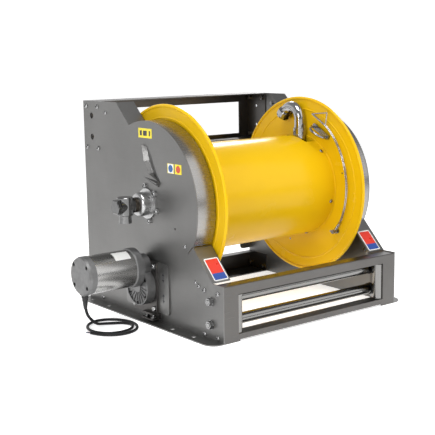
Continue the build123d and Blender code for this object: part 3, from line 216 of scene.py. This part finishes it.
def cable_rubber():
    look = Look("cable_rubber", (0.008, 0.008, 0.009), 0.0, 0.4)
    look.shader.inputs["Specular IOR Level"].default_value = 0.25
    look.vary_roughness(look.noise(80), 0.32, 0.5)
    look.bump(look.noise(900, detail=2.0), 0.00006, 0.5)
    return look.material


LABEL_INNER_X = 0.2645  # the edge nearer the drum, on both labels
SIDE_BORDERS = (0.0015, 0.003)  # white border at the inner and at the outer edge
END_BORDER, BLUE_PART = 0.05, 0.33  # parts of the label's height


def front_label():
    """A plain decal: red above, blue below, inside a white border."""
    look = Look("front_label", (0.7, 0.05, 0.02), 0.0, 0.3)
    low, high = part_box("front_labels")
    height = high[2] - low[2]
    border = END_BORDER * height
    up = look.axis("Z")
    across = look.math("ABSOLUTE", look.axis("X"), 0)
    above_bottom = look.math("GREATER_THAN", up, low[2] + border)
    below_top = look.math("LESS_THAN", up, high[2] - border)
    past_inner = look.math("GREATER_THAN", across, LABEL_INNER_X + SIDE_BORDERS[0])
    before_outer = look.math("LESS_THAN", across, high[0] - SIDE_BORDERS[1])
    inside = look.math("MULTIPLY", look.math("MULTIPLY", above_bottom, below_top),
                       look.math("MULTIPLY", past_inner, before_outer))
    red_part = look.math("GREATER_THAN", up, low[2] + BLUE_PART * height)
    inks = look.mix((0.02, 0.07, 0.33), (0.72, 0.035, 0.015), red_part)
    look.links.new(look.mix((0.82, 0.82, 0.80), inks, inside), look.shader.inputs["Base Color"])
    look.vary_roughness(look.noise(50), 0.25, 0.38)
    return look.material


ALONG_X, ALONG_Y, ALONG_Z = (0.02, 1, 1), (1, 0.02, 1), (1, 1, 0.02)
LOOKS = {
    "stainless": brushed("stainless", 0.205, ALONG_Y, (0.34, 0.46)),
    # The arc strips' steel: the side plates' stainless, smoother and grained along X, and made lighter as a
    # painted highlight.
    "highlit_strip_steel": brushed("highlit_strip_steel", 0.33, ALONG_X, (0.2, 0.3), (1.0, 0.98, 0.96)),
    # The front frame's steel: the side plates' stainless made darker, a painted shade on its face.
    "shaded_frame_steel": brushed("shaded_frame_steel", 0.135, ALONG_X, (0.26, 0.38), (1.0, 0.965, 0.93)),
    # A darker copy still of the stainless: painted shade on the parts that take it.
    "dark_steel": brushed("dark_steel", 0.11, ALONG_X, (0.3, 0.45), (1.0, 0.95, 0.92)),
    "yellow_paint": yellow_paint(),
    "zinc": plated("zinc", 0.32),
    "roller_steel": brushed("roller_steel", 0.25, ALONG_X, (0.12, 0.2), depth=0.00002),
    "plate_steel": brushed("plate_steel", 0.25, ALONG_Z, (0.32, 0.45)),
    "cast_aluminium": cast("cast_aluminium", 0.21),
    "motor_steel": brushed("motor_steel", 0.43, ALONG_X, (0.24, 0.28), depth=0.00001),
    "chrome": plated("chrome", 0.42, (0.1, 0.18)),
    # Chrome made darker for the swivel alone: painted dark reflections.
    "shaded_chrome": plated("shaded_chrome", 0.18, (0.08, 0.14)),
    # Zinc made lighter for the bearing housings: a painted highlight.
    "highlit_cast": plated("highlit_cast", 0.5, (0.26, 0.34)),
    "bronze": plated("bronze", 0.09, (0.28, 0.42), (1.0, 0.86, 0.7)),
    "wire_steel": plated("wire_steel", 0.45, (0.15, 0.26)),
    "machined_steel": plated("machined_steel", 0.3, (0.3, 0.45)),
    "black_screw": plated("black_screw", 0.03, (0.35, 0.5)),
    "black_plastic": plain_paint("black_plastic", (0.012, 0.012, 0.013), 0.5),
    "cable_black": cable_rubber(),
    "front_label": front_label(),
    "panel_label": plain_paint("panel_label", (0.80, 0.66, 0.03)),
    "white_label": plain_paint("white_label", (0.74, 0.74, 0.72)),
    "label_ink": plain_paint("label_ink", (0.03, 0.03, 0.035), 0.45),
    "blue_ink": plain_paint("blue_ink", (0.02, 0.10, 0.30), 0.4),
    "red_ink": plain_paint("red_ink", (0.55, 0.06, 0.03), 0.4),
    "copper": plated("copper", 0.7, (0.3, 0.4), (1.0, 0.55, 0.35)),
}
NODE_LOOKS = {
    # the arc strips take a lighter copy of the stainless: painted highlight
    "arc_strips": "highlit_strip_steel",
    # the front frame takes a darker copy of the stainless: painted shade
    "front_roller_frame": "shaded_frame_steel",
    # the swivel elbow and its plug take the darker chrome: painted dark reflections
    "swivel_elbow": "shaded_chrome",
    "swivel_end_plug": "shaded_chrome",
    # the bearing housings take the lighter zinc: painted highlight
    "left_bearing_housing": "highlit_cast",
    "right_bearing_housing": "highlit_cast",
    # the slide plate and tension foot under the gearmotor take the darkest steel: painted shade
    "motor_slide_plate": "dark_steel",
    "tension_foot": "dark_steel",
}


def dress_cad():
    """Give every CAD node the look of its slot in the record."""
    slots = {part["node"]: part["material_slot"] for part in frame["record"]["subparts"]}
    for name, node in frame["nodes"].items():
        look = LOOKS[NODE_LOOKS.get(name, slots[name])]
        node.data.materials.clear()
        node.data.materials.append(look)


dress_cad()


# Helpers for the detail pieces ----------------------------------------------------------------
def add_mesh(name, mesh, look, body, smooth=True):
    """Link a mesh as a piece that rides on a body."""
    for polygon in mesh.polygons:
        polygon.use_smooth = smooth
    piece = bpy.data.objects.new(name, mesh)
    bpy.context.scene.collection.objects.link(piece)
    mesh.materials.append(LOOKS[look])
    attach(piece, body)
    return piece


def tube(name, points, radius, look, body, closed=False, sides=12):
    """A round tube through points, as a mesh; radius is a number or one for each point."""
    points = [Vector(point) for point in points]
    radii = radius if isinstance(radius, (list, tuple)) else [radius] * len(points)
    builder = bmesh.new()
    rings = []
    normal = None
    count = len(points)
    for index, point in enumerate(points):
        before = points[index - 1] if index or closed else point
        after = points[(index + 1) % count] if index < count - 1 or closed else point
        way = (after - before).normalized()
        if normal is None:
            normal = way.orthogonal().normalized()
        normal = (normal - way * normal.dot(way)).normalized()
        side = way.cross(normal)
        turns = [2 * math.pi * step / sides for step in range(sides)]
        ring = [
            builder.verts.new(point + (normal * math.cos(turn) + side * math.sin(turn)) * radii[index])
            for turn in turns
        ]
        rings.append(ring)
    pairs = list(zip(rings, rings[1:] + ([rings[0]] if closed else [])))
    for first, second in pairs:
        for step in range(sides):
            following = (step + 1) % sides
            builder.faces.new((first[step], first[following], second[following], second[step]))
    if not closed:
        builder.faces.new(list(reversed(rings[0])))
        builder.faces.new(rings[-1])
    mesh = bpy.data.meshes.new(name)
    builder.to_mesh(mesh)
    builder.free()
    return add_mesh(name, mesh, look, body)


def plate(name, outline, low, high, look, body, slot=None):
    """A flat plate across X, from a (y, z) outline."""
    builder = bmesh.new()
    near = [builder.verts.new((low, y, z)) for y, z in outline]
    far = [builder.verts.new((high, y, z)) for y, z in outline]
    builder.faces.new(near)
    builder.faces.new(list(reversed(far)))
    for index in range(len(outline)):
        following = (index + 1) % len(outline)
        builder.faces.new((near[index], far[index], far[following], near[following]))
    bmesh.ops.recalc_face_normals(builder, faces=builder.faces)
    mesh = bpy.data.meshes.new(name)
    builder.to_mesh(mesh)
    builder.free()
    return add_mesh(name, mesh, look, body, smooth=False)


def ring_points(x, centre, radius, count=96):
    """Points round a circle across X."""
    turns = [2 * math.pi * step / count for step in range(count)]
    return [(x, centre[1] + radius * math.cos(turn), centre[2] + radius * math.sin(turn)) for turn in turns]


def circle_outline(centre, radius, count=28):
    turns = [2 * math.pi * step / count for step in range(count)]
    return [(centre[0] + radius * math.cos(turn), centre[1] + radius * math.sin(turn)) for turn in turns]


# Power cable ----------------------------------------------------------------------------------
CABLE_RADIUS, FLOOR_GAP = 0.004, 0.0003
CABLE_EXIT = (-0.523, -0.018, 0.084)
DROP = [
    CABLE_EXIT,
    (-0.523, -0.018, 0.064),
    (-0.5175, -0.0185, 0.0425),
    (-0.5035, -0.020, 0.0255),
    (-0.490, -0.022, 0.0145),
]
TURN_START, TURN_SWEEP, TURN_POINTS = 103, 633, 28  # degrees, degrees and control points
INNER_TURN = (-0.451, -0.051, 0.050, 0.041)  # centre and half-axes of the first loose turn
OUTER_TURN = (-0.459, -0.038, 0.071, 0.080)  # and of the last
TURN_HEIGHTS = (0.0085, 0.0055)  # where the cable lands on the first turn
RELIEF_DROPS = (-0.001, 0.004, 0.012, 0.020, 0.021)  # below the exit
RELIEF_RADII = [0.0072, 0.0070, 0.0058, 0.0048, 0.0042]


def cable_route():
    """The drop from the gland, then nearly two loose turns that open out on the floor."""
    route = list(DROP)
    for step in range(TURN_POINTS):
        share = step / (TURN_POINTS - 1)
        grown = min(1, max(0, (share - 0.22) / 0.38))
        x, y, wide, deep = (a + (b - a) * grown for a, b in zip(INNER_TURN, OUTER_TURN))
        turn = math.radians(TURN_START - TURN_SWEEP * share)
        z = TURN_HEIGHTS[step] if step < len(TURN_HEIGHTS) else CABLE_RADIUS + FLOOR_GAP
        route.append((x + wide * math.cos(turn), y + deep * math.sin(turn), z))
    return route


def smooth_line(name, route):
    """A curve that the route's points control."""
    curve = bpy.data.curves.new(name, "CURVE")
    curve.dimensions = "3D"
    curve.resolution_u = 10
    spline = curve.splines.new("NURBS")
    spline.points.add(len(route) - 1)
    for point, place in zip(spline.points, route):
        point.co = (*place, 1)
    spline.order_u = 3
    spline.use_endpoint_u = True
    return curve


CORE_LOOKS = ("black_plastic", "blue_ink", "copper")
CORE_RADIUS, CORE_SPACING = 0.0011, 0.0019
CORE_STEPS = ((-0.002, 1), (0.008, 1.6), (0.014, 2.2))  # along from the cut end, and how far apart


def power_cable():
    """The cable, its strain relief at the gland, and the cores at its cut end."""
    route = cable_route()
    curve = smooth_line("power_cable_line", route)
    curve.bevel_depth = CABLE_RADIUS
    curve.bevel_resolution = 5
    curve.use_fill_caps = True
    cable = bpy.data.objects.new("power_cable_line", curve)
    bpy.context.scene.collection.objects.link(cable)
    curve.materials.append(LOOKS["cable_black"])
    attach(cable, "frame")
    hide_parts("power_cable", "power_cable_coil")
    relief = tube(
        "cable_strain_relief",
        [(CABLE_EXIT[0], CABLE_EXIT[1], CABLE_EXIT[2] - drop) for drop in RELIEF_DROPS],
        RELIEF_RADII,
        "black_plastic", "frame", sides=24,
    )
    end, before = Vector(route[-1]), Vector(route[-2])
    way = (end - before).normalized()
    sideways = way.cross(Vector((0, 0, 1))).normalized() * CORE_SPACING
    cores = []
    for index, look in enumerate(CORE_LOOKS):
        places = [end + way * along + sideways * (index - 1) * apart for along, apart in CORE_STEPS]
        cores.append(
            tube(f"cable_core_{index}", places, CORE_RADIUS, look, "frame", sides=10)
        )
    return cable, relief, cores


def curve_length(route):
    """Length of the smooth line that the route's points control."""
    curve = smooth_line("probe", route)
    probe = bpy.data.objects.new("probe", curve)
    mesh = bpy.data.meshes.new_from_object(probe)
    line = [vertex.co.copy() for vertex in mesh.vertices]
    length = sum((b - a).length for a, b in zip(line, line[1:]))
    bpy.data.objects.remove(probe)
    bpy.data.meshes.remove(mesh)
    bpy.data.curves.remove(curve)
    return length


cable, relief, cores = power_cable()
CABLE_LENGTH = round(curve_length(cable_route()), 2)


# Drum details ---------------------------------------------------------------------------------
WELD_RADIUS = 0.0022
WELD_INSET, WELD_RISE = 0.0012, 0.0006  # its centre, in from the disc and out from the barrel


def drum_welds():
    """The fillet weld under the paint where the barrel meets each disc."""
    for side in (-1, 1):
        x = side * (BARREL_HIGH[0] - WELD_INSET)
        points = ring_points(x, DRUM_AXIS, BARREL_RADIUS + WELD_RISE, 160)
        name = "drum_weld_left" if side < 0 else "drum_weld_right"
        tube(name, points, WELD_RADIUS, "yellow_paint", "drum", closed=True, sides=8)


SPRING_START, SPRING_END = Vector((0.2385, -0.1911, 0.2006)), Vector((0.2385, -0.2134, 0.2294))
SPRING_TURNS, STEPS_PER_TURN = 9, 14
SPRING_RADIUS, LOOP_RADIUS, SPRING_WIRE = 0.0039, 0.0058, 0.0009
SPRING_ENDS = (0.0085, 0.0045)  # straight lengths before and after the turns


def spring_coil():
    """The helical spring between the retaining wire and its anchor, with hooked ends."""
    start, end = SPRING_START, SPRING_END
    way = (end - start).normalized()
    across = Vector((1, 0, 0))
    out = way.cross(across)
    body_start, body_end = start + way * SPRING_ENDS[0], end - way * SPRING_ENDS[1]
    steps = SPRING_TURNS * STEPS_PER_TURN
    points = []
    for step in range(steps + 1):
        turn = 2 * math.pi * SPRING_TURNS * step / steps
        middle = body_start.lerp(body_end, step / steps)
        points.append(middle + (across * math.cos(turn) + out * math.sin(turn)) * SPRING_RADIUS)
    loop_turns = [math.radians(degrees) for degrees in range(-330, 1, 15)]
    loop = [start + (way * math.cos(turn) + out * math.sin(turn)) * LOOP_RADIUS for turn in loop_turns]
    piece = tube(
        "wire_spring_coil", loop + points, SPRING_WIRE,
        "wire_steel", "retaining_wire", sides=8,
    )
    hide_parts("wire_spring")


SWAN_LEG = (0.230, -0.048)  # x and y of the swan neck's straight leg
COLLAR_RADIUS, COLLAR_HEIGHTS = 0.0198, (0.4845, 0.5035)
COLLAR_WIRE = 0.0011


def collar_rings():
    """Raised rings round the collar on the swan neck's straight leg."""
    leg_x, leg_y = SWAN_LEG
    for index, z in enumerate(COLLAR_HEIGHTS):
        turns = [2 * math.pi * step / 64 for step in range(64)]
        points = [
            (leg_x + COLLAR_RADIUS * math.cos(turn), leg_y + COLLAR_RADIUS * math.sin(turn), z)
            for turn in turns
        ]
        tube(f"collar_ring_{index}", points, COLLAR_WIRE, "chrome", "drum", closed=True, sides=8)


drum_welds()
spring_coil()
collar_rings()


# Labels and marks -----------------------------------------------------------------------------
PRINT = 0.0002  # how far a print stands proud of what is under it
LABEL_HALF_WIDTH, LABEL_ENDS = 0.0122, (0.4218, 0.4462)
DISC_HEIGHT, DISC_RADIUS = 0.434, 0.0098
BAR_ENDS = (0.514, 0.528)


def rectangle(low_y, high_y, low_z, high_z):
    return [(low_y, low_z), (high_y, low_z), (high_y, high_z), (low_y, high_z)]


def pictograms():
    """Plain shapes on the blank labels, with no lettering."""
    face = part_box("panel_labels")[0][0]
    for name, centre_y, ground, ink in (
        ("left", -0.1415, "white_label", "blue_ink"),
        ("right", -0.1755, "panel_label", "red_ink"),
    ):
        paper = rectangle(centre_y - LABEL_HALF_WIDTH, centre_y + LABEL_HALF_WIDTH, *LABEL_ENDS)
        plate(f"label_paper_{name}", paper, face - PRINT, face, ground, "frame", ground)
        disc = circle_outline((centre_y, DISC_HEIGHT), DISC_RADIUS)
        plate(f"label_disc_{name}", disc, face - 2 * PRINT, face - PRINT, ink, "frame", "panel_label")
    for index, (y, wide) in enumerate(((-0.046, 0.006), (-0.024, 0.018), (-0.004, 0.010))):
        bar = rectangle(y - wide / 2, y + wide / 2, *BAR_ENDS)
        plate(f"label_bar_{index}", bar, face - PRINT, face, "label_ink", "frame", "panel_label")


ARROW_Y, ARROW_HEIGHTS = -0.099, (0.130, 0.072)
TIP_REACH, SHAFT_REACH = 0.0135, 0.0055  # from the arrow's middle, along it
HEAD_HALF_WIDTH, SHAFT_HALF_WIDTH = 0.0055, 0.0012


def double_arrows():
    """Double arrows on the mount plate that show which way the gearmotor slides."""
    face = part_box("motor_mount_plate")[0][0]
    marks = (face - PRINT, face, "label_ink", "frame", "plate_steel")
    for index, z in enumerate(ARROW_HEIGHTS):
        for part, sign in enumerate((1, -1)):
            tip, base = z + sign * TIP_REACH, z + sign * SHAFT_REACH
            head = [(ARROW_Y - HEAD_HALF_WIDTH, base), (ARROW_Y + HEAD_HALF_WIDTH, base), (ARROW_Y, tip)]
            plate(f"arrow_head_{index}_{part}", head, *marks)
        shaft = rectangle(ARROW_Y - SHAFT_HALF_WIDTH, ARROW_Y + SHAFT_HALF_WIDTH,
                          z - SHAFT_REACH, z + SHAFT_REACH)
        plate(f"arrow_shaft_{index}", shaft, *marks)


pictograms()
double_arrows()


# Studio ---------------------------------------------------------------------------------------
def glow():
    """A world that is white behind the object and dimmer overhead and in front of it."""
    world = bpy.data.worlds.new("studio")
    world.use_nodes = True
    nodes, links = world.node_tree.nodes, world.node_tree.links
    way = nodes.new("ShaderNodeSeparateXYZ")
    links.new(nodes.new("ShaderNodeTexCoord").outputs["Generated"], way.inputs[0])

    def ranged(value, start, end, low, high):
        node = nodes.new("ShaderNodeMapRange")
        node.interpolation_type = "SMOOTHSTEP"
        for socket, number in zip(node.inputs[1:5], (start, end, low, high)):
            socket.default_value = number
        links.new(value, node.inputs[0])
        return node.outputs[0]

    behind = ranged(way.outputs["Y"], -0.2, 0.65, 0.0, 0.85)
    below = ranged(way.outputs["Z"], 0.2, 0.75, 1.0, 0.1)
    both = nodes.new("ShaderNodeMath")
    both.operation = "MULTIPLY_ADD"
    links.new(behind, both.inputs[0])
    links.new(below, both.inputs[1])
    both.inputs[2].default_value = 0.3
    links.new(both.outputs[0], nodes["Background"].inputs["Strength"])
    nodes["Background"].inputs["Color"].default_value = (1, 1, 1, 1)
    bpy.context.scene.world = world


def studio():
    """A pale floor under soft boxes in front, overhead and behind."""
    bpy.ops.mesh.primitive_plane_add(size=40, location=(0, 0, -0.0005))
    floor = bpy.context.object
    floor.name = "floor"
    look = Look("floor", (0.85, 0.85, 0.85), 0.0, 0.7)
    look.shader.inputs["Emission Color"].default_value = (1, 1, 1, 1)
    look.shader.inputs["Emission Strength"].default_value = 0.66
    look.vary_color(look.noise(0.6), (0.84, 0.84, 0.84), (0.86, 0.86, 0.86))
    floor.data.materials.append(look.material)
    bpy.context.scene.view_settings.view_transform = "Standard"
    middle = Vector((0, -0.03, 0.3))
    for name, place, width, height, power in (
        ("front", (1.2, -2.4, 1.9), 3.0, 3.0, 33),
        ("left", (-2.4, -1.4, 1.3), 0.9, 0.9, 16),
        ("strip", (-2.1, -1.0, 0.75), 0.12, 1.3, 7),
        ("top", (-0.5, -0.7, 2.6), 1.2, 1.2, 33),
        ("behind", (1.8, 1.95, 1.85), 0.5, 0.5, 14),
    ):
        data = bpy.data.lights.new(name, "AREA")
        data.shape, data.size, data.size_y, data.energy = "RECTANGLE", width, height, power
        light = bpy.data.objects.new(name, data)
        light.location = place
        light.rotation_euler = (middle - Vector(place)).to_track_quat("-Z", "Y").to_euler()
        bpy.context.scene.collection.objects.link(light)


glow()
studio()
